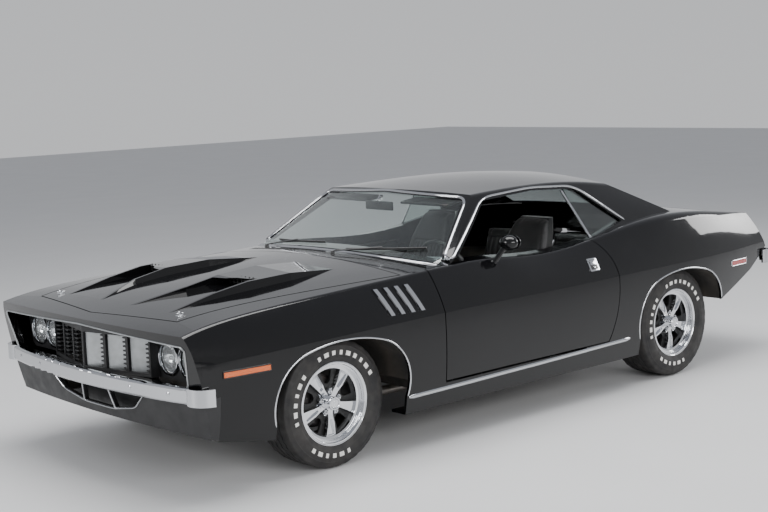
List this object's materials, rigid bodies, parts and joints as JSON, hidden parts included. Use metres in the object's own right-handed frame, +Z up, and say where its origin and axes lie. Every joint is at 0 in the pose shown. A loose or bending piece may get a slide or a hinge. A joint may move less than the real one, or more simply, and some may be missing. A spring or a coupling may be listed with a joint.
{
  "type": "muscle car",
  "caption": "Two-door fastback muscle car with a V-shaped nose, recessed grille, hinged doors, hood and deck lid, steered front wheels and rolling wheels.",
  "frame": {"origin": "on the ground under the middle of the car's length and width", "axes": "+X forward, +Y to the driver's side (left), +Z up"},
  "size_m": [4.7396, 1.9026, 1.3045],
  "materials": {
    "body_paint": "gloss",
    "black_trim": "satin",
    "bright_trim": "polished",
    "silver_blades": "satin",
    "clear_glass": "clear",
    "lamp_glass": "clear",
    "red_lens": "clear",
    "amber_lens": "clear",
    "chassis_black": "satin",
    "engine_iron": "painted",
    "exhaust_steel": "satin",
    "wheel_chrome": "polished",
    "tyre_rubber": "matte",
    "seat_vinyl": "satin",
    "wheel_grip": "satin"
  },
  "bodies": {
    "body": {"boot_floor": "chassis_black", "bucket_seat_left": "seat_vinyl", "bucket_seat_right": "seat_vinyl", "console": "black_trim", "cowl": "body_paint", "dashboard": "black_trim", "engine": "engine_iron", "exhaust": "exhaust_steel", "fender_gills": "bright_trim", "floor_pan": "chassis_black", "front_bumper": "bright_trim", "front_fender_left": "body_paint", "front_fender_right": "body_paint", "front_frame": "chassis_black", "front_suspension": "chassis_black", "front_valance": "black_trim", "fuel_tank": "chassis_black", "grille": "black_trim", "grille_blades": "silver_blades", "headlamps": "lamp_glass", "nose_panel": "body_paint", "quarter_glass": "clear_glass", "quarter_panel_left": "body_paint", "quarter_panel_right": "body_paint", "radiator": "chassis_black", "rear_axle": "chassis_black", "rear_bumper": "bright_trim", "rear_seat": "seat_vinyl", "rear_shelf": "body_paint", "rear_window": "clear_glass", "roof": "body_paint", "side_markers": "amber_lens", "tail_lamps": "red_lens", "tail_panel": "body_paint", "windshield": "clear_glass"},
    "hood": {"hood": "body_paint"},
    "deck_lid": {"deck_lid": "body_paint"},
    "door_left": {"door_left": "body_paint"},
    "door_right": {"door_right": "body_paint"},
    "steering_wheel": {"steering_wheel": "wheel_grip"},
    "knuckle_left": {"knuckle_left": "chassis_black"},
    "knuckle_right": {"knuckle_right": "chassis_black"},
    "wheel_front_left": {"rim_front_left": "wheel_chrome", "tyre_front_left": "tyre_rubber"},
    "wheel_front_right": {"rim_front_right": "wheel_chrome", "tyre_front_right": "tyre_rubber"},
    "wheel_rear_left": {"rim_rear_left": "wheel_chrome", "tyre_rear_left": "tyre_rubber"},
    "wheel_rear_right": {"rim_rear_right": "wheel_chrome", "tyre_rear_right": "tyre_rubber"}
  },
  "joints": [
    {"name": "hood_hinge", "type": "hinge", "parent": "body", "child": "hood", "pos_m": [0.876, 0, 0.94], "axis": [0, -1, 0], "range_deg": [0, 50]},
    {"name": "deck_lid_hinge", "type": "hinge", "parent": "body", "child": "deck_lid", "pos_m": [-1.646, 0, 1.014], "axis": [0, 1, 0], "range_deg": [0, 65]},
    {"name": "door_left_hinge", "type": "hinge", "parent": "body", "child": "door_left", "pos_m": [0.738, 0.942, 0.6], "axis": [0, 0, -1], "range_deg": [0, 65]},
    {"name": "door_right_hinge", "type": "hinge", "parent": "body", "child": "door_right", "pos_m": [0.738, -0.942, 0.6], "axis": [0, 0, 1], "range_deg": [0, 65]},
    {"name": "steer_left", "type": "hinge", "parent": "body", "child": "knuckle_left", "pos_m": [1.441, 0.66, 0.325], "axis": [0, 0, 1], "range_deg": [-32, 32]},
    {"name": "steer_right", "type": "hinge", "parent": "body", "child": "knuckle_right", "pos_m": [1.441, -0.66, 0.325], "axis": [0, 0, 1], "range_deg": [-32, 32]},
    {"name": "steering_wheel_turn", "type": "hinge", "parent": "body", "child": "steering_wheel", "pos_m": [0.221, 0.4, 0.8], "axis": [-0.9397, 0, 0.342], "range_deg": [-480, 480]},
    {"name": "wheel_front_left_spin", "type": "hinge", "parent": "knuckle_left", "child": "wheel_front_left", "pos_m": [1.441, 0.735, 0.325], "axis": [0, 1, 0], "continuous": true},
    {"name": "wheel_front_right_spin", "type": "hinge", "parent": "knuckle_right", "child": "wheel_front_right", "pos_m": [1.441, -0.735, 0.325], "axis": [0, 1, 0], "continuous": true},
    {"name": "wheel_rear_left_spin", "type": "hinge", "parent": "body", "child": "wheel_rear_left", "pos_m": [-1.302, 0.757, 0.335], "axis": [0, 1, 0], "continuous": true},
    {"name": "wheel_rear_right_spin", "type": "hinge", "parent": "body", "child": "wheel_rear_right", "pos_m": [-1.302, -0.757, 0.335], "axis": [0, 1, 0], "continuous": true}
  ],
  "couplings": [
    {"joint": "steer_right", "follows": "steer_left", "ratio": 1},
    {"joint": "steering_wheel_turn", "follows": "steer_left", "ratio": 15}
  ]
}
